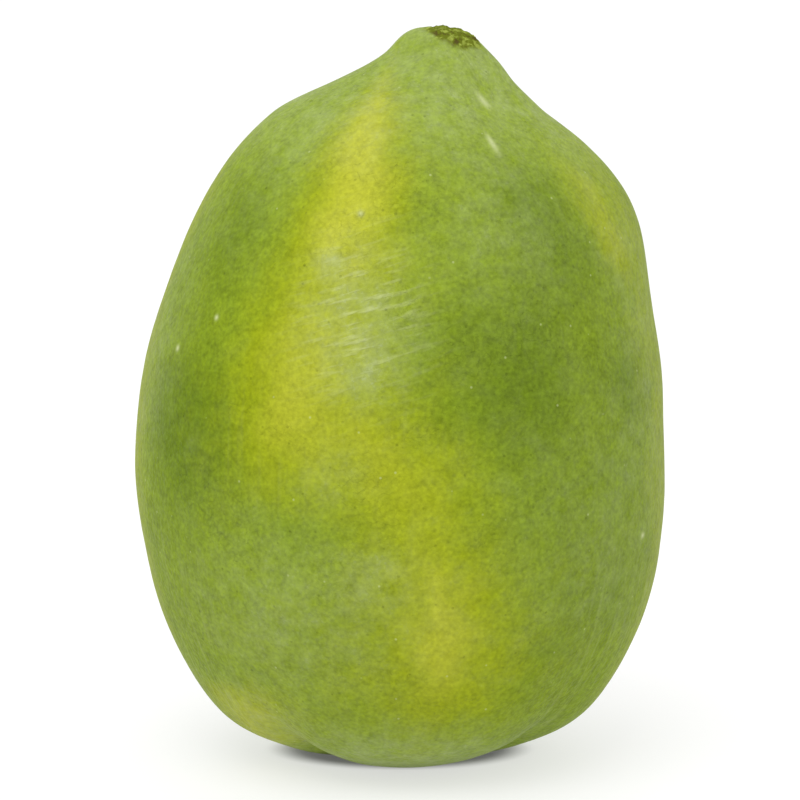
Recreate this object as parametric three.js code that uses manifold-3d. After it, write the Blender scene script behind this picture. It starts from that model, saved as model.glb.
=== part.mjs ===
// A papaya standing on its blossom end. Millimetres, +Z up, the front faces -Y.
// One grown piece: a turned outline, swollen into five lobes, with its neck set over to one side.
import * as THREE from 'three';
import { mergeVertices } from 'three/addons/utils/BufferGeometryUtils.js';
import Module from 'manifold-3d';

const { degToRad, smoothstep } = THREE.MathUtils;

// ---- Driving dimensions ----
const FULLEST_RADIUS = 53.2;
const NECK_RADIUS = 7.1;
const STEM_SCAR_RADIUS = 4.2;
const BLOSSOM_SCAR_RADIUS = 7;
const FOOT_RADIUS = 12;

// Mean outline as [radius, height], from the blossom scar up to the stem scar.
const OUTLINE = [
  [0, 3.2],
  [BLOSSOM_SCAR_RADIUS, 1.9],
  [FOOT_RADIUS, 0.2],
  [26, 3.8],
  [39, 11.5],
  [49, 29],
  [FULLEST_RADIUS, 48],
  [FULLEST_RADIUS, 67],
  [51.6, 86],
  [44.6, 106.5],
  [35.5, 122.5],
  [26.2, 132.5],
  [17.2, 139],
  [10.8, 144],
  [NECK_RADIUS, 147.8],
  [STEM_SCAR_RADIUS, 149.4],
  [0, 149.9],
];
const RINGS_PER_POINT = 3;
const SEGMENTS_PER_LOBE = 16;

// Five lobes, one to the front: sharp furrows at the blossom end, fading to a soft pentagon above.
const LOBES = 5;
const FRONT_LOBE_TURN = 4;
const FRONT = degToRad(-90 + FRONT_LOBE_TURN);
const FRONT_LOBE_WIDENING = 0.22;
const LOBE_DEPTH = { base: 2.2, body: 1, shoulder: 1.4 };
const BASE_FADE_HEIGHT = 24;
const SHOULDER = { height: 128, spread: 14 };
const FURROW_WIDTH = { base: 0.25, body: 0.9 };
const LOBE_START_RADIUS = 7;

// Broad swellings that make the sides unlike: each has a direction, a height and a size.
const SWELLING_WIDTH = 0.9;
const SWELLINGS = [
  { angle: degToRad(0), height: 113, spread: 16, amount: 4.7 },
  { angle: degToRad(180), height: 64, spread: 16, amount: 1.5 },
];

// The neck stands over towards +X.
const NECK_SHIFT = 6.9;
const NECK_SHIFT_FROM = 132;
const NECK_SHIFT_TO = 145.5;

const FLOOR_CUT = { width: 120, depth: 20 };
const SKIN_GREEN = 0x8aa03a;
const SKIN_ROUGHNESS = 0.45;

const bell = (distance, spread) => Math.exp(-((distance / spread) ** 2));

// Broad crests with a furrow between, level on average: the narrower the furrow, the flatter the crest.
// The front lobe is the widest and the ones behind are narrower.
function lobeHeight(angle, radius, height) {
  const nearBase = bell(height, BASE_FADE_HEIGHT);
  const nearShoulder = bell(height - SHOULDER.height, SHOULDER.spread);
  const depth = LOBE_DEPTH.base * nearBase + LOBE_DEPTH.body + LOBE_DEPTH.shoulder * nearShoulder;
  const furrow = THREE.MathUtils.lerp(FURROW_WIDTH.body, FURROW_WIDTH.base, nearBase) ** 2;
  const turn = angle - FRONT;
  const crest = Math.cos((LOBES / 2) * (turn - FRONT_LOBE_WIDENING * Math.sin(turn))) ** 2;
  const mean = 1 - Math.sqrt(furrow / (1 + furrow));
  const wave = crest / (crest + furrow) - mean;
  const awayFromAxis = 1 - bell(radius, LOBE_START_RADIUS);
  return depth * wave * awayFromAxis;
}

function swellingHeight(angle, height) {
  let total = 0;
  for (const swelling of SWELLINGS) {
    const turn = Math.atan2(Math.sin(angle - swelling.angle), Math.cos(angle - swelling.angle));
    total += swelling.amount * bell(turn, SWELLING_WIDTH) * bell(height - swelling.height, swelling.spread);
  }
  return total;
}

function withSharedVertices(geometry) {
  geometry.deleteAttribute('normal');
  geometry.deleteAttribute('uv');
  return mergeVertices(geometry);
}

function turnedOutline() {
  const points = OUTLINE.map(([radius, height]) => new THREE.Vector2(radius, height));
  const rings = new THREE.SplineCurve(points).getPoints((OUTLINE.length - 1) * RINGS_PER_POINT);
  rings[0].x = 0;
  rings[rings.length - 1].x = 0;
  const geometry = new THREE.LatheGeometry(rings, LOBES * SEGMENTS_PER_LOBE, FRONT);
  return withSharedVertices(geometry.rotateX(Math.PI / 2));
}

// Moves every point of the turned outline along its normal, then sets the neck over.
function growIntoShape(geometry) {
  geometry.computeVertexNormals();
  const { position, normal: normals } = geometry.attributes;
  const point = new THREE.Vector3();
  const normal = new THREE.Vector3();
  for (let i = 0; i < position.count; i++) {
    point.fromBufferAttribute(position, i);
    normal.fromBufferAttribute(normals, i);
    const angle = Math.atan2(point.y, point.x);
    const radius = Math.hypot(point.x, point.y);
    const outward = lobeHeight(angle, radius, point.z) + swellingHeight(angle, point.z);
    point.addScaledVector(normal, outward);
    point.x += NECK_SHIFT * smoothstep(point.z, NECK_SHIFT_FROM, NECK_SHIFT_TO);
    position.setXYZ(i, point.x, point.y, point.z);
  }
  return geometry;
}

function toSolid(wasm, geometry) {
  return new wasm.Manifold(new wasm.Mesh({
    numProp: 3,
    vertProperties: geometry.attributes.position.array,
    triVerts: new Uint32Array(geometry.index.array),
  }));
}

function toGeometry(solid) {
  const { vertProperties, triVerts } = solid.getMesh();
  const geometry = new THREE.BufferGeometry();
  geometry.setAttribute('position', new THREE.BufferAttribute(vertProperties, 3));
  geometry.setIndex(new THREE.BufferAttribute(triVerts, 1));
  return geometry;
}

// The lowest part of each lobe is worn flat, so the fruit stands on five small spots at height 0.
function cutFoot(wasm, geometry) {
  const belowFloor = new THREE.BoxGeometry(FLOOR_CUT.width, FLOOR_CUT.width, FLOOR_CUT.depth);
  belowFloor.translate(0, 0, -FLOOR_CUT.depth / 2);
  const foot = toSolid(wasm, withSharedVertices(belowFloor));
  return toGeometry(toSolid(wasm, geometry).subtract(foot));
}

function centreOverOrigin(geometry) {
  geometry.computeBoundingBox();
  const middle = geometry.boundingBox.getCenter(new THREE.Vector3());
  return geometry.translate(-middle.x, -middle.y, 0);
}

const wasm = await Module();
wasm.setup();

const skin = centreOverOrigin(cutFoot(wasm, growIntoShape(turnedOutline())));
skin.computeVertexNormals();

const papaya = new THREE.Mesh(
  skin,
  new THREE.MeshStandardMaterial({ color: SKIN_GREEN, roughness: SKIN_ROUGHNESS, metalness: 0 }),
);
papaya.name = 'papaya';

const model = new THREE.Group();
model.add(papaya);

export default model;
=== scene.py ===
import math
from collections import namedtuple

import bpy
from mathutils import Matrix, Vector


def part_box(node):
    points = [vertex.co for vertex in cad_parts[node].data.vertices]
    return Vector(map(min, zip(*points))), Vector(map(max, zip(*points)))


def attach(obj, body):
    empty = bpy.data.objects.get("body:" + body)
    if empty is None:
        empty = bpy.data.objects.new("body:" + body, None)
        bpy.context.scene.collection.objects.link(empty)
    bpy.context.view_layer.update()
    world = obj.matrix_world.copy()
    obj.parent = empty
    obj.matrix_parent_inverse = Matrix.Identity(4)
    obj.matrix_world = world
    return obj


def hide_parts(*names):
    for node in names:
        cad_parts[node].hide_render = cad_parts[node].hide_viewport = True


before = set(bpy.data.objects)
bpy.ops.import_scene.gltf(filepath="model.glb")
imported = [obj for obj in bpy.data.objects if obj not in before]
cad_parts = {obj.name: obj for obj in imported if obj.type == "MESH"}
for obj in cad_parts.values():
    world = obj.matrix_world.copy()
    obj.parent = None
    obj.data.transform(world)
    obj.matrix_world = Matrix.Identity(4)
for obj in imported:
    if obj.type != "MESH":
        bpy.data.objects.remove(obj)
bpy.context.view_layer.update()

# A papaya standing on its blossom end. Shapes and patterns are worked out in millimetres and degrees.
# An angle round the fruit is 0 at the front, -Y, and grows towards +X.

BOX_LOW, BOX_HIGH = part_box("papaya")
DRAWN_HEIGHT = 149.9
MM = (BOX_HIGH[2] - BOX_LOW[2]) / DRAWN_HEIGHT

# ---- The fruit's shape ----

# Mean outline as (radius, height), from the blossom scar up to the stem scar.
OUTLINE = (
    (0, 3.2),
    (7, 1.9),
    (12, 0.2),
    (26, 3.8),
    (39, 11.5),
    (49, 29),
    (53.2, 48),
    (53.2, 67),
    (51.6, 86),
    (44.6, 106.5),
    (35.5, 122.5),
    (26.2, 132.5),
    (17.2, 139),
    (10.8, 144),
    (7.1, 147.8),
    (4.2, 149.4),
    (0, 149.9),
)
STEPS_BETWEEN_POINTS = 24

# Each of these is a named input of the body's node tree.
BODY_SIZES = {
    "Points round": 320,
    "Points up": 300,
    "Base lobe depth": 2.2,
    "Body lobe depth": 1.0,
    "Shoulder lobe depth": 1.4,
    "Neck shift": 6.9,
    "Unevenness": 0.9,
    "Metres per millimetre": MM,
}

# Five lobes, one to the front: sharp furrows at the blossom end, fading to a soft pentagon above.
LOBES = 5
FRONT_LOBE_TURN = 4
FRONT_LOBE_WIDENING = 0.22
SHOULDER_HEIGHT = 128
SHOULDER_SPREAD = 14
BASE_FADE_HEIGHT = 24
BASE_FURROW_WIDTH = 0.25
BODY_FURROW_WIDTH = 0.9
LOBE_START_RADIUS = 7

NECK_SHIFT_FROM = 132
NECK_SHIFT_TO = 145.5

# Broad swellings that make the sides unlike.
Swelling = namedtuple("Swelling", "angle height spread amount")
SWELLING_WIDTH = 52
SWELLINGS = (
    Swelling(angle=90, height=113, spread=16, amount=4.7),
    Swelling(angle=-90, height=64, spread=16, amount=1.5),
)

# The stem scar lies to the right and a little to the front of the neck's top.
STEM_SCAR_RADIUS = 5.8
STEM_SCAR_MIDDLE = (2.8, -2.0)
STEM_SCAR_LUMPS = 2.4
STEM_SCAR_SINK = 0.1
BLOSSOM_SCAR_RADIUS = 3.2
BLOSSOM_SCAR_LUMPS = 0.8
BLOSSOM_SCAR_SINK = 0.5

# ---- Grain ----

# A layer of smooth noise: the size of its lumps, and how much it adds.
Grain = namedtuple("Grain", "size detail seed strength roughness", defaults=(1.0, 0.5))
UNEVEN_SHAPE = (
    Grain(size=34, detail=1, seed=3),
    Grain(size=9, detail=2, seed=8, strength=0.25),
)
STEM_SCAR_EDGE = Grain(size=2.4, detail=2, seed=5, strength=2.4)
STEM_SCAR_GRAIN = Grain(size=1.5, detail=3, seed=7, roughness=0.6)
BLOSSOM_SCAR_EDGE = Grain(size=2.0, detail=2, seed=9, strength=2)
BLOSSOM_SCAR_GRAIN = Grain(size=0.9, detail=3, seed=10)
STREAK_WANDER = Grain(size=13, detail=3, seed=11, strength=16)
STREAK_DRIFT = Grain(size=15, detail=3, seed=12, strength=14)
RIPENESS_GRAIN = (
    Grain(size=30, detail=2, seed=13, strength=0.2),
    Grain(size=4, detail=4, seed=14, strength=0.3),
)
GREEN_GRAIN = Grain(size=20, detail=4, seed=21, strength=1.1)
BLOOM_CLOUDS = Grain(size=14, detail=4, seed=31, roughness=0.6)
BLOOM_FROST = Grain(size=0.9, detail=3, seed=32, roughness=0.7)
BLOOM_BLOTS = Grain(size=3.5, detail=4, seed=33, strength=3.5, roughness=0.6)
SCRATCH_LINES = Grain(size=1, detail=2, seed=41)
STRIATION_LINES = Grain(size=1, detail=2, seed=42)
STRIATION_CLUMPS = Grain(size=20, detail=1, seed=43)
STRIATION_PATCHES = Grain(size=11, detail=1, seed=44)
WRINKLE_LINES = Grain(size=2.4, detail=2, seed=45)
WRINKLE_CLUMPS = Grain(size=16, detail=2, seed=46)
MOTTLE = (
    Grain(size=0.8, detail=2, seed=51, strength=0.85),
    Grain(size=2.6, detail=3, seed=52, strength=0.55),
)
SCAR_TONES = Grain(size=1.5, detail=3, seed=61, roughness=0.6)
ROUGHNESS_GRAIN = Grain(size=1.4, detail=3, seed=71, strength=0.2)
SKIN_RELIEF = (
    Grain(size=1.0, detail=2, seed=81, strength=0.3),
    Grain(size=4, detail=3, seed=82, strength=0.5),
)
SCAR_RELIEF = Grain(size=0.8, detail=3, seed=83, strength=0.4)

# ---- The skin's pattern ----

# Ripening streaks run from a low end to a high end, each given as (height, angle), with a bow between.
Streak = namedtuple("Streak", "low high bow width strength")
STREAKS = (
    Streak(low=(62, -20), high=(140, -15), bow=0, width=20, strength=0.6),
    Streak(low=(106, -14), high=(142, -12), bow=0, width=12, strength=0.42),
    Streak(low=(72, -26), high=(100, -25), bow=0, width=9, strength=0.25),
    Streak(low=(18, 12), high=(76, -2), bow=2, width=15, strength=0.5),
    Streak(low=(22, 11), high=(48, 9), bow=0, width=7, strength=0.17),
    Streak(low=(12, 80), high=(128, 76), bow=0, width=14, strength=0.3),
    Streak(low=(104, 64), high=(124, 59), bow=0, width=6, strength=0.45),
    Streak(low=(4, -56), high=(20, -48), bow=0, width=18, strength=0.75),
    Streak(low=(20, -84), high=(126, -88), bow=0, width=13, strength=0.4),
    Streak(low=(30, 128), high=(122, 122), bow=6, width=17, strength=0.6),
    Streak(low=(80, 124), high=(116, 122), bow=0, width=8, strength=0.35),
    Streak(low=(44, -148), high=(134, -134), bow=-6, width=18, strength=0.6),
    Streak(low=(60, -150), high=(92, -144), bow=0, width=8, strength=0.35),
    Streak(low=(12, -168), high=(58, -182), bow=0, width=14, strength=0.5),
)

# Soft patches, each with its middle, its width in degrees and its tallness.
Patch = namedtuple("Patch", "angle height width tallness strength")
DEEP_GREEN_PATCHES = (
    Patch(angle=-54, height=72, width=14, tallness=16, strength=1.0),
    Patch(angle=-52, height=112, width=12, tallness=16, strength=0.5),
    Patch(angle=42, height=112, width=15, tallness=16, strength=0.6),
    Patch(angle=26, height=86, width=16, tallness=16, strength=0.7),
    Patch(angle=62, height=81, width=8, tallness=7, strength=0.8),
    Patch(angle=48, height=46, width=22, tallness=18, strength=0.35),
)
# Pale patches, partly real waxy bloom and partly painted light: the two tall ones near 70 degrees either
# side are painted sheen where the outline catches a grazing reflection, and the low front one is painted
# light thrown up from the floor.
BLOOM_AND_SHEEN_PATCHES = (
    Patch(angle=-28, height=38, width=30, tallness=18, strength=0.6),
    Patch(angle=-9, height=97, width=13, tallness=13, strength=0.8),
    Patch(angle=-18, height=107, width=3.5, tallness=2, strength=1.2),
    Patch(angle=-6, height=87, width=6, tallness=5, strength=0.8),
    Patch(angle=-7, height=48, width=8, tallness=4, strength=0.5),
    Patch(angle=-15, height=67, width=7, tallness=6, strength=0.4),
    Patch(angle=48, height=52, width=26, tallness=28, strength=0.4),
    Patch(angle=28, height=114, width=20, tallness=16, strength=0.5),
    Patch(angle=-72, height=90, width=12, tallness=30, strength=0.5),
    Patch(angle=68, height=100, width=13, tallness=44, strength=0.5),
    Patch(angle=-44, height=122, width=14, tallness=12, strength=0.3),
    Patch(angle=0, height=8, width=40, tallness=7, strength=0.9),
    Patch(angle=-48, height=14, width=16, tallness=9, strength=0.5),
)
RIPE_PATCHES = (
    Patch(angle=0, height=30, width=50, tallness=26, strength=0.2),
    Patch(angle=180, height=40, width=60, tallness=30, strength=0.2),
)
SCUFFED = Patch(angle=-9, height=97, width=13, tallness=14, strength=1.0)
SCRATCH_RISE = 17
SCRATCH_LENGTH = 7
SCRATCH_WIDTH = 1.1
STRIATION_LENGTH = 26
STRIATION_DEGREES = 1.6
PORE_SPACING = 2.6
SPECK_SPACING = 3.4

# Small pale marks, and the one raised pimple.
PALE_MARKS = (
    Patch(angle=35, height=128.5, width=1.3, tallness=1.7, strength=0.7),
    Patch(angle=47, height=136, width=2.6, tallness=1.5, strength=0.6),
    Patch(angle=-48, height=95, width=0.6, tallness=0.5, strength=0.8),
    Patch(angle=-60, height=88, width=0.7, tallness=0.6, strength=0.8),
    Patch(angle=64, height=50, width=0.8, tallness=0.6, strength=0.8),
)
PIMPLE = Patch(angle=-11, height=116, width=0.9, tallness=0.55, strength=1.0)

DEEP_GREEN = (0.125, 0.19, 0.008, 1)
FRESH_GREEN = (0.205, 0.284, 0.014, 1)
LIME = (0.26, 0.315, 0.006, 1)
YELLOW = (0.41, 0.43, 0.03, 1)
PALE_BLOOM_AND_SHEEN = (0.4, 0.46, 0.24, 1)
SCRATCH_PALE = (0.55, 0.6, 0.3, 1)
SCAR_PALE = (0.3, 0.36, 0.06, 1)
SCAR_OLIVE = (0.13, 0.16, 0.012, 1)
SCAR_BROWN = (0.085, 0.07, 0.015, 1)

# How much of the bloom there is on the neck and in the clouds.
NECK_BLOOM = 0.65
CLOUD_BLOOM = 0.25

# Shares by which dark marks darken the skin and pale ones cover it; the wrinkles' darkening is painted
# shade in their creases.
PORE_SHADE = 0.22
WRINKLE_SHADE = 0.06
SPECK_COVER = 0.35
SCRATCH_COVER = 0.42
STRIATION_COVER = 0.16
PIMPLE_COVER = 0.6

# Painted shade: the skin is darker within this height of the floor, where the contact shadow falls.
UNDERSIDE_SHADE_HEIGHT = 3
UNDERSIDE_SHADE = 0.5

SKIN_ROUGHNESS = 0.46
SKIN_SPECULAR = 0.03

# ---- Floor, light and camera, in metres unless said otherwise ----

FLOOR_HALF_SIDE = 12.0
FLOOR_GREY = (0.35, 0.35, 0.35, 1)
FLOOR_ROUGHNESS = 0.7
FLOOR_GLOW = 0.62

# Painted contact shadow: the glow rises from a small share to its full strength across the edge of an oval
# round the middle, so the floor is dark under the fruit.
# The oval is measured in millimetres from front to back, and the stretch makes it wider from side to side.
FLOOR_PAINTED_SHADOW_EDGE = (12.6, 18)
FLOOR_PAINTED_SHADOW_STRETCH = 1.6
FLOOR_GLOW_IN_PAINTED_SHADOW = 0.16

WHITE = (1, 1, 1, 1)
SKY_STRENGTH = 1.0
KEY_LIGHT_PLACE = (-0.25, -0.6, 1.2)
KEY_LIGHT_TARGET = (0, 0, 0.08)
KEY_LIGHT_SIZE = 0.9
KEY_LIGHT_POWER = 7

CAMERA_LENS_MM = 153.4
CAMERA_SENSOR_MM = 36
CAMERA_DISTANCE = 0.7
CAMERA_ELEVATION_DEGREES = 9
CAMERA_TARGET = (0, 0, 0.0736)


# ---- Arithmetic in node trees ----


class Field:
    """A value that a node tree works out, so that a tree is written as ordinary arithmetic."""

    def __init__(self, socket):
        self.socket = socket
        self.tree = socket.id_data

    def math(self, operation, *others):
        made = self.tree.nodes.new("ShaderNodeMath")
        made.operation = operation
        for value, socket in zip((self, *others), made.inputs):
            feed(socket, value)
        return Field(made.outputs[0])

    def __add__(self, other):
        return self.math("ADD", other)

    def __sub__(self, other):
        return self.math("SUBTRACT", other)

    def __rsub__(self, other):
        return (self * -1) + other

    def __mul__(self, other):
        return self.math("MULTIPLY", other)

    def __truediv__(self, other):
        return self.math("DIVIDE", other)

    def __neg__(self):
        return self * -1

    def __abs__(self):
        return self.math("ABSOLUTE")


def feed(socket, value):
    """Links a field to a socket, or sets a plain value on it."""
    if isinstance(value, Field):
        socket.id_data.links.new(value.socket, socket)
    else:
        socket.default_value = value


def add_node(tree, kind, inputs=None, **settings):
    """Adds a node, with its settings first, because they decide which sockets it has."""
    made = tree.nodes.new(kind)
    for name, setting in settings.items():
        setattr(made, name, setting)
    for name, value in (inputs or {}).items():
        feed(made.inputs[name], value)
    return made


def squared(value):
    return value * value


def bell(distance, spread):
    """1 at no distance, falling smoothly to a third at the spread and to nothing far past it."""
    return (-squared(distance / spread)).math("EXPONENT")


def hypotenuse(a, b):
    return (squared(a) + squared(b)).math("SQRT")


def total(fields):
    first, *rest = fields
    return sum(rest, first)


def ramp(value, start, end):
    """Rises smoothly from 0 at start to 1 at end."""
    made = add_node(
        value.tree,
        "ShaderNodeMapRange",
        {"Value": value, "From Min": start, "From Max": end},
        interpolation_type="SMOOTHSTEP",
    )
    return Field(made.outputs["Result"])


def angle_round(x, y):
    """Degrees round the upright axis, 0 at -Y and growing towards +X."""
    return x.math("ARCTAN2", -y) * math.degrees(1)


def turn_between(angle, middle):
    """Degrees from middle to angle, the short way round."""
    return (angle - middle).math("WRAP", 180, -180)


def split(vector):
    made = add_node(vector.tree, "ShaderNodeSeparateXYZ", {"Vector": vector})
    return [Field(output) for output in made.outputs]


def join(tree, x, y, z):
    made = add_node(tree, "ShaderNodeCombineXYZ", {"X": x, "Y": y, "Z": z})
    return Field(made.outputs[0])


def scaled(vector, amount):
    """A vector made longer or shorter, or a colour made brighter or darker."""
    made = add_node(
        vector.tree,
        "ShaderNodeVectorMath",
        {"Vector": vector, "Scale": amount},
        operation="SCALE",
    )
    return Field(made.outputs["Vector"])


def grain(place, layer):
    """Smooth noise on both sides of 0, in lumps of the layer's size."""
    made = add_node(
        place.tree,
        "ShaderNodeTexNoise",
        {
            "Vector": place,
            "W": layer.seed,
            "Scale": 1 / layer.size,
            "Detail": layer.detail,
            "Roughness": layer.roughness,
        },
        noise_dimensions="4D",
    )
    return (Field(made.outputs[0]) - 0.5) * layer.strength


def grains(place, layers):
    return total(grain(place, layer) for layer in layers)


def spots(place, spacing):
    """Distance from the nearest of many scattered points, as a share of their spacing, and its number."""
    made = add_node(place.tree, "ShaderNodeTexVoronoi", {"Vector": place, "Scale": 1 / spacing})
    distance = Field(made.outputs["Distance"])
    number = split(Field(made.outputs["Color"]))[0]
    return distance, number


def blend(under, over, share):
    """Colour laid over another by a share from 0 to 1."""
    made = share.tree.nodes.new("ShaderNodeMix")
    made.data_type = "RGBA"
    feed(made.inputs[0], share)
    feed(made.inputs[6], under)
    feed(made.inputs[7], over)
    return Field(made.outputs[2])


# ---- Body ----


def lobe_height(angle, radius, height, sizes):
    """Broad crests with a furrow between, level on average: the narrower the furrow, the flatter the crest.

    The front lobe is the widest and the ones behind are narrower.
    """
    near_base = bell(height, BASE_FADE_HEIGHT)
    near_shoulder = bell(height - SHOULDER_HEIGHT, SHOULDER_SPREAD)
    depth = sizes["Base lobe depth"] * near_base + sizes["Body lobe depth"]
    depth = depth + sizes["Shoulder lobe depth"] * near_shoulder
    furrow = squared(near_base * (BASE_FURROW_WIDTH - BODY_FURROW_WIDTH) + BODY_FURROW_WIDTH)
    turn = (angle - FRONT_LOBE_TURN) * math.radians(1)
    crest = squared(((turn - turn.math("SINE") * FRONT_LOBE_WIDENING) * (LOBES / 2)).math("COSINE"))
    mean = 1 - (furrow / (furrow + 1)).math("SQRT")
    wave = crest / (crest + furrow) - mean
    away_from_axis = 1 - bell(radius, LOBE_START_RADIUS)
    return depth * wave * away_from_axis


def swelling_height(angle, height):
    swellings = []
    for swelling in SWELLINGS:
        across = bell(turn_between(angle, swelling.angle), SWELLING_WIDTH)
        swellings.append(across * bell(height - swelling.height, swelling.spread) * swelling.amount)
    return total(swellings)


def stem_scar(height, place):
    """How much of each point is stem scar, and how far the scar's lumps lift it."""
    x, y, _ = split(place)
    across, back = STEM_SCAR_MIDDLE
    distance = hypotenuse(x - across, y - back) + grain(place, STEM_SCAR_EDGE)
    within = 1 - ramp(distance, STEM_SCAR_RADIUS - 0.6, STEM_SCAR_RADIUS + 0.4)
    share = within * ramp(height, 120, 130)
    return share, share * (grain(place, STEM_SCAR_GRAIN) * STEM_SCAR_LUMPS - STEM_SCAR_SINK)


def blossom_scar(radius, height, place):
    """How much of each point is blossom scar, and how far its rough dimple sinks it."""
    distance = radius + grain(place, BLOSSOM_SCAR_EDGE)
    within = 1 - ramp(distance, BLOSSOM_SCAR_RADIUS - 1, BLOSSOM_SCAR_RADIUS + 1)
    share = within * (1 - ramp(height, 10, 20))
    return share, share * (grain(place, BLOSSOM_SCAR_GRAIN) * BLOSSOM_SCAR_LUMPS - BLOSSOM_SCAR_SINK)


def pass_on(geometry, kind, inputs=None, **settings):
    """Sends geometry through one more node, by its first socket."""
    made = add_node(geometry.tree, kind, {0: geometry, **(inputs or {})}, **settings)
    return Field(made.outputs[0])


def store(geometry, name, value, data_type="FLOAT", domain="POINT"):
    """Keeps a value on the geometry, under a name that a material can read."""
    inputs = {"Name": name, "Value": value}
    settings = {"data_type": data_type, "domain": domain}
    return pass_on(geometry, "GeometryNodeStoreNamedAttribute", inputs, **settings)


def outline_at(outline, way_up):
    """Radius, height and the two parts of the direction, at a share of the rounded outline's length."""
    curve = pass_on(outline, "GeometryNodeMeshToCurve")
    rounded = pass_on(curve, "GeometryNodeCurveSplineType", spline_type="CATMULL_ROM")
    fine = pass_on(rounded, "GeometryNodeSetSplineResolution", {"Resolution": STEPS_BETWEEN_POINTS})
    sample = add_node(
        fine.tree,
        "GeometryNodeSampleCurve",
        {"Curves": fine, "Factor": way_up},
        mode="FACTOR",
        use_all_curves=True,
    )
    radius, _, height = split(Field(sample.outputs["Position"]))
    lean_out, _, lean_up = split(Field(sample.outputs["Tangent"]))
    return radius, height, lean_out, lean_up


def body_inputs(tree):
    """Gives the tree its outline and its named sizes, and returns them as fields."""
    tree.interface.new_socket("Outline", in_out="INPUT", socket_type="NodeSocketGeometry")
    for name, size in BODY_SIZES.items():
        kind = "NodeSocketInt" if isinstance(size, int) else "NodeSocketFloat"
        socket = tree.interface.new_socket(name, in_out="INPUT", socket_type=kind)
        socket.default_value = size
    outputs = tree.nodes.new("NodeGroupInput").outputs
    return {socket.name: Field(socket) for socket in outputs if socket.name}


def grow(tree, sizes):
    """Where each point of a ball goes, in millimetres, and its shares of stem scar and blossom scar."""
    x, y, z = split(Field(tree.nodes.new("GeometryNodeInputPosition").outputs[0]))
    angle = angle_round(x, y)
    way_up = (-z).math("ARCCOSINE") / math.pi
    radius, height, lean_out, lean_up = outline_at(sizes["Outline"], way_up)
    direction_x = (angle * math.radians(1)).math("SINE")
    direction_y = -(angle * math.radians(1)).math("COSINE")
    place = join(tree, radius * direction_x, radius * direction_y, height)

    stem_share, stem_lift = stem_scar(height, place)
    blossom_share, blossom_lift = blossom_scar(radius, height, place)
    outward = lobe_height(angle, radius, height, sizes) + swelling_height(angle, height)
    outward = outward + sizes["Unevenness"] * grains(place, UNEVEN_SHAPE)
    outward = outward + stem_lift + blossom_lift

    wide = radius + lean_up * outward
    up = height - lean_out * outward
    shift = sizes["Neck shift"] * ramp(up, NECK_SHIFT_FROM, NECK_SHIFT_TO)
    shaped = join(tree, wide * direction_x + shift, wide * direction_y, up.math("MAXIMUM", 0))
    return shaped, stem_share, blossom_share


def body_tree(skin):
    tree = bpy.data.node_groups.new("papaya_body", "GeometryNodeTree")
    sizes = body_inputs(tree)
    tree.interface.new_socket("Fruit", in_out="OUTPUT", socket_type="NodeSocketGeometry")
    ball = add_node(
        tree,
        "GeometryNodeMeshUVSphere",
        {"Segments": sizes["Points round"], "Rings": sizes["Points up"]},
    )
    shaped, stem_share, blossom_share = grow(tree, sizes)

    skin_map = Field(ball.outputs["UV Map"])
    fruit = store(Field(ball.outputs["Mesh"]), "skin_map", skin_map, "FLOAT2", "CORNER")
    fruit = store(fruit, "stem_scar", stem_share)
    fruit = store(fruit, "blossom_scar", blossom_share)
    position = scaled(shaped, sizes["Metres per millimetre"])
    fruit = pass_on(fruit, "GeometryNodeSetPosition", {"Position": position})
    fruit = pass_on(fruit, "GeometryNodeSetShadeSmooth")
    fruit = pass_on(fruit, "GeometryNodeRealizeInstances")
    fruit = pass_on(fruit, "GeometryNodeSetMaterial", {"Material": skin})
    result = tree.nodes.new("NodeGroupOutput")
    feed(result.inputs["Fruit"], fruit)
    return tree


def centre_on_frame(mesh):
    """Moves the mesh so that its outer box stands in the middle of the CAD box."""
    for axis in (0, 1):
        places = [vertex.co[axis] for vertex in mesh.vertices]
        drift = (min(places) + max(places)) / 2 - (BOX_LOW[axis] + BOX_HIGH[axis]) / 2
        for vertex in mesh.vertices:
            vertex.co[axis] -= drift


def make_papaya(skin):
    outline = bpy.data.meshes.new("outline")
    points = [(radius, 0, height) for radius, height in OUTLINE]
    outline.from_pydata(points, [(i, i + 1) for i in range(len(points) - 1)], [])
    grower = bpy.data.objects.new("papaya_outline", outline)
    bpy.context.scene.collection.objects.link(grower)
    modifier = grower.modifiers.new("grow", "NODES")
    modifier.node_group = body_tree(skin)
    for socket in modifier.node_group.interface.items_tree:
        if socket.name in BODY_SIZES:
            modifier[socket.identifier] = BODY_SIZES[socket.name]

    grown = grower.evaluated_get(bpy.context.evaluated_depsgraph_get())
    mesh = bpy.data.meshes.new_from_object(grown)
    bpy.data.objects.remove(grower)
    mesh.name = "papaya_skin"
    centre_on_frame(mesh)
    piece = bpy.data.objects.new("papaya_skin", mesh)
    bpy.context.scene.collection.objects.link(piece)
    return piece


# ---- Skin ----


def new_material(name):
    material = bpy.data.materials.new(name)
    material.use_nodes = True
    return material, material.node_tree.nodes["Principled BSDF"]


def place_in_mm(tree):
    coordinates = tree.nodes.new("ShaderNodeTexCoord")
    return scaled(Field(coordinates.outputs["Object"]), 1 / MM)


def attribute(tree, name):
    return Field(add_node(tree, "ShaderNodeAttribute", attribute_name=name).outputs["Fac"])


def streak_share(angle, height, streak):
    (low_height, low_angle), (high_height, high_angle) = streak.low, streak.high
    way = ((height - low_height) / (high_height - low_height)).math("MINIMUM", 1).math("MAXIMUM", 0)
    middle = way * (high_angle - low_angle) + low_angle + way * (1 - way) * (4 * streak.bow)
    across = bell(turn_between(angle, middle), streak.width)
    fade = min((high_height - low_height) * 0.3, 14)
    starts = ramp(height, low_height - fade, low_height + fade)
    ends = 1 - ramp(height, high_height - fade, high_height + fade)
    return across * starts * ends * streak.strength


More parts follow.
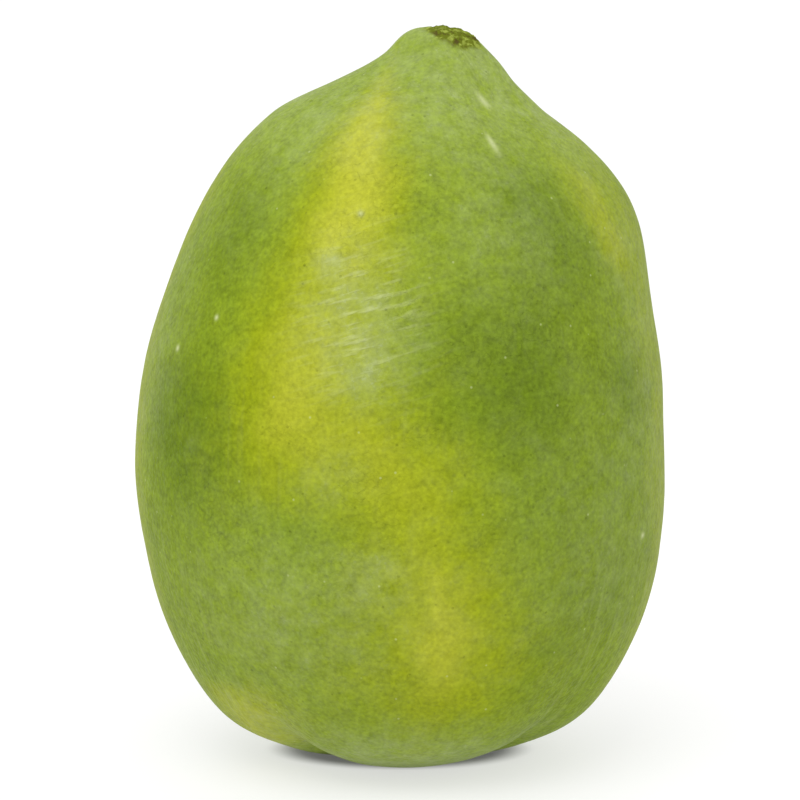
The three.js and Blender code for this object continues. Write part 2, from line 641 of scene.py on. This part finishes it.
def patch_share(angle, height, patch):
    across = bell(turn_between(angle, patch.angle), patch.width)
    return across * bell(height - patch.height, patch.tallness) * patch.strength


def all_patches(angle, height, patches):
    return total(patch_share(angle, height, patch) for patch in patches)


def ripening(place, angle, height):
    """0 on green skin, 0.5 on lime and 1 on yellow, with soft and slightly wandering edges."""
    wandered = angle + grain(place, STREAK_WANDER)
    drifted = height + grain(place, STREAK_DRIFT)
    streaks = total(streak_share(wandered, drifted, streak) for streak in STREAKS)
    return streaks + all_patches(angle, height, RIPE_PATCHES) + grains(place, RIPENESS_GRAIN)


def green_depth(place, angle, height):
    """How deep the green is: deepest in its patches, and paler on the neck."""
    patches = all_patches(angle, height, DEEP_GREEN_PATCHES)
    return patches + grain(place, GREEN_GRAIN) + 0.15 - ramp(height, 116, 140) * 0.5


def ripening_colour(place, angle, height, ripe):
    """Green, lime and yellow under a mottled grain, which is fainter where the skin is ripe."""
    green = blend(FRESH_GREEN, DEEP_GREEN, ramp(green_depth(place, angle, height), -0.2, 1.0))
    colour = blend(green, LIME, ramp(ripe, 0.0, 0.55))
    colour = blend(colour, YELLOW, ramp(ripe, 0.4, 1.1))
    return scaled(colour, grains(place, MOTTLE) * (1.15 - ripe * 0.45) + 1)


def bloom_and_sheen_cover(place, angle, height):
    """The thin waxy bloom with painted sheen: patches and clouds of it and a coat on the neck, all finely
    broken up.
    """
    on_neck = ramp(height, 118, 138) * NECK_BLOOM
    clouds = ramp(grain(place, BLOOM_CLOUDS), -0.05, 0.4) * CLOUD_BLOOM
    film = all_patches(angle, height, BLOOM_AND_SHEEN_PATCHES) + on_neck + clouds
    blots = (grain(place, BLOOM_BLOTS) + 1).math("MAXIMUM", 0)
    frost = ramp(grain(place, BLOOM_FROST), 0.0, 0.22)
    return film * blots * (frost * 0.22 + 0.28)


def pores(place):
    """Small dark dots."""
    distance, number = spots(place, PORE_SPACING)
    return (1 - ramp(distance, 0.06, 0.14)) * ramp(number, 0.5, 0.6)


def specks(place):
    """Small pale dots, wider apart than the pores."""
    distance, number = spots(place, SPECK_SPACING)
    return (1 - ramp(distance, 0.04, 0.1)) * ramp(number, 0.6, 0.7)


def scratches(place, angle, height):
    """Thin pale lines, nearly level, where the skin was rubbed."""
    x, _, z = split(place)
    rise = math.radians(SCRATCH_RISE)
    along = x * math.cos(rise) + z * math.sin(rise)
    across = z * math.cos(rise) - x * math.sin(rise)
    lines = grain(join(place.tree, along / SCRATCH_LENGTH, across / SCRATCH_WIDTH, 0), SCRATCH_LINES)
    return ramp(lines, 0.0, 0.2) * patch_share(angle, height, SCUFFED)


def striations(place, angle, height):
    """Fine pale lines that run up and down: on the lower flanks, fainter round the back, and in clumps."""
    stretched = join(place.tree, angle / STRIATION_DEGREES, height / STRIATION_LENGTH, 0)
    lines = ramp(grain(stretched, STRIATION_LINES), -0.05, 0.3)
    clumps = ramp(grain(place, STRIATION_CLUMPS), 0, 0.2)
    patchy = ramp(grain(place, STRIATION_PATCHES), -0.15, 0.15)
    low = ramp(height, 6, 16) * (1 - ramp(height, 30, 56))
    flanks = ramp(abs(angle), 36, 56) * (1 - ramp(abs(angle), 60, 85) * 0.7)
    return lines * (low * flanks * (patchy * 0.8 + 0.7) + clumps * 0.4)


def wrinkles(place):
    """Soft shallow wrinkles, in clumps."""
    clumps = ramp(grain(place, WRINKLE_CLUMPS), -0.02, 0.15)
    return (1 - ramp(abs(grain(place, WRINKLE_LINES)), 0.0, 0.07)) * clumps


def scar_colour(place):
    """Pale, olive and brown, in small lumps."""
    tone = grain(place, SCAR_TONES)
    colour = blend(SCAR_BROWN, SCAR_OLIVE, ramp(tone, -0.2, -0.03))
    return blend(colour, SCAR_PALE, ramp(tone, -0.02, 0.12))


def skin_marks(place, angle, height):
    """How strong each kind of mark is at each point of the skin."""
    return {
        "pores": pores(place),
        "specks": specks(place),
        "wrinkles": wrinkles(place),
        "scratches": scratches(place, angle, height),
        "striations": striations(place, angle, height),
        "pale": all_patches(angle, height, PALE_MARKS),
        "pimple": patch_share(angle, height, PIMPLE),
        "stem": attribute(place.tree, "stem_scar"),
        "blossom": attribute(place.tree, "blossom_scar"),
    }


def skin_colour(place, angle, height, ripe, marks):
    colour = ripening_colour(place, angle, height, ripe)
    # Pale waxy bloom, with painted sheen at the sides and painted floor light low at the front.
    colour = blend(colour, PALE_BLOOM_AND_SHEEN, bloom_and_sheen_cover(place, angle, height))
    colour = scaled(colour, 1 - marks["pores"] * PORE_SHADE)
    colour = blend(colour, SCRATCH_PALE, marks["specks"] * SPECK_COVER)
    # Painted shade in the wrinkles' creases.
    colour = scaled(colour, 1 - marks["wrinkles"] * WRINKLE_SHADE)
    colour = blend(colour, SCRATCH_PALE, marks["scratches"] * SCRATCH_COVER)
    colour = blend(colour, SCRATCH_PALE, marks["striations"] * STRIATION_COVER)
    spotted = marks["pale"] + marks["pimple"] * PIMPLE_COVER
    colour = blend(colour, SCRATCH_PALE, spotted.math("MINIMUM", 1))
    colour = blend(colour, scar_colour(place), marks["stem"])
    colour = blend(colour, SCAR_BROWN, marks["blossom"])
    # Painted shade, darker within a few millimetres of the floor.
    return scaled(colour, 1 - bell(height, UNDERSIDE_SHADE_HEIGHT) * UNDERSIDE_SHADE)


def skin_relief(place, marks):
    """Millimetres by which the fine detail stands out from the skin."""
    relief = grains(place, SKIN_RELIEF)
    relief = relief - marks["pores"] * 0.06 - marks["wrinkles"] * 0.08
    relief = relief + marks["scratches"] * 0.12 + marks["striations"] * 0.1 + marks["pimple"] * 0.5
    return relief + marks["stem"] * grain(place, SCAR_RELIEF)


def make_skin():
    material, shader = new_material("papaya_skin")
    tree = material.node_tree
    place = place_in_mm(tree)
    x, y, height = split(place)
    angle = angle_round(x, y)
    ripe = ripening(place, angle, height)
    marks = skin_marks(place, angle, height)

    feed(shader.inputs["Base Color"], skin_colour(place, angle, height, ripe, marks))
    roughness = grain(place, ROUGHNESS_GRAIN) + SKIN_ROUGHNESS
    roughness = roughness + marks["scratches"] * 0.15 + marks["stem"] * 0.3 - ripe * 0.03
    feed(shader.inputs["Roughness"], roughness)
    shader.inputs["Specular IOR Level"].default_value = SKIN_SPECULAR
    relief = skin_relief(place, marks)
    bump = add_node(tree, "ShaderNodeBump", {"Height": relief, "Strength": 1.0, "Distance": MM})
    feed(shader.inputs["Normal"], Field(bump.outputs["Normal"]))
    return material


# ---- Floor, light and camera ----


def make_floor_white():
    """White with a little glow, so that the wide shadow is pale; the glow fades under the fruit to paint a
    dark contact shadow.
    """
    material, shader = new_material("floor_white")
    x, y, _ = split(place_in_mm(material.node_tree))
    # Painted contact shadow: the glow fades inside an oval under the fruit.
    outside_painted_shadow = ramp(hypotenuse(x / FLOOR_PAINTED_SHADOW_STRETCH, y), *FLOOR_PAINTED_SHADOW_EDGE)
    glow = (outside_painted_shadow * (1 - FLOOR_GLOW_IN_PAINTED_SHADOW) + FLOOR_GLOW_IN_PAINTED_SHADOW) * FLOOR_GLOW
    feed(shader.inputs["Emission Strength"], glow)
    shader.inputs["Emission Color"].default_value = WHITE
    shader.inputs["Base Color"].default_value = FLOOR_GREY
    shader.inputs["Roughness"].default_value = FLOOR_ROUGHNESS
    return material


def make_floor():
    side = FLOOR_HALF_SIDE
    corners = [(-side, -side, 0), (side, -side, 0), (side, side, 0), (-side, side, 0)]
    mesh = bpy.data.meshes.new("floor")
    mesh.from_pydata(corners, [], [(0, 1, 2, 3)])
    mesh.materials.append(make_floor_white())
    floor = bpy.data.objects.new("floor", mesh)
    bpy.context.scene.collection.objects.link(floor)
    return floor


def aim(thing, target):
    thing.rotation_mode = "QUATERNION"
    thing.rotation_quaternion = (Vector(target) - thing.location).to_track_quat("-Z", "Y")


def light_sky():
    """Even white light from all round."""
    world = bpy.data.worlds.new("studio")
    world.use_nodes = True
    sky = world.node_tree.nodes["Background"]
    sky.inputs["Color"].default_value = WHITE
    sky.inputs["Strength"].default_value = SKY_STRENGTH
    bpy.context.scene.world = world


def add_key_light():
    """A soft square light above the front left."""
    lamp = bpy.data.lights.new("key_light", "AREA")
    lamp.shape = "SQUARE"
    lamp.size = KEY_LIGHT_SIZE
    lamp.energy = KEY_LIGHT_POWER
    softbox = bpy.data.objects.new("key_light", lamp)
    softbox.location = KEY_LIGHT_PLACE
    softbox.visible_camera = False
    aim(softbox, KEY_LIGHT_TARGET)
    bpy.context.scene.collection.objects.link(softbox)


def add_camera():
    lens = bpy.data.cameras.new("camera")
    lens.lens = CAMERA_LENS_MM
    lens.sensor_width = CAMERA_SENSOR_MM
    camera = bpy.data.objects.new("camera", lens)
    elevation = math.radians(CAMERA_ELEVATION_DEGREES)
    towards_camera = Vector((0, -math.cos(elevation), math.sin(elevation)))
    camera.location = Vector(CAMERA_TARGET) + CAMERA_DISTANCE * towards_camera
    aim(camera, CAMERA_TARGET)
    bpy.context.scene.collection.objects.link(camera)
    bpy.context.scene.camera = camera


papaya = make_papaya(make_skin())
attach(papaya, "root")
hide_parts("papaya")
make_floor()
light_sky()
add_key_light()
add_camera()
bpy.context.scene.view_settings.view_transform = "Standard"
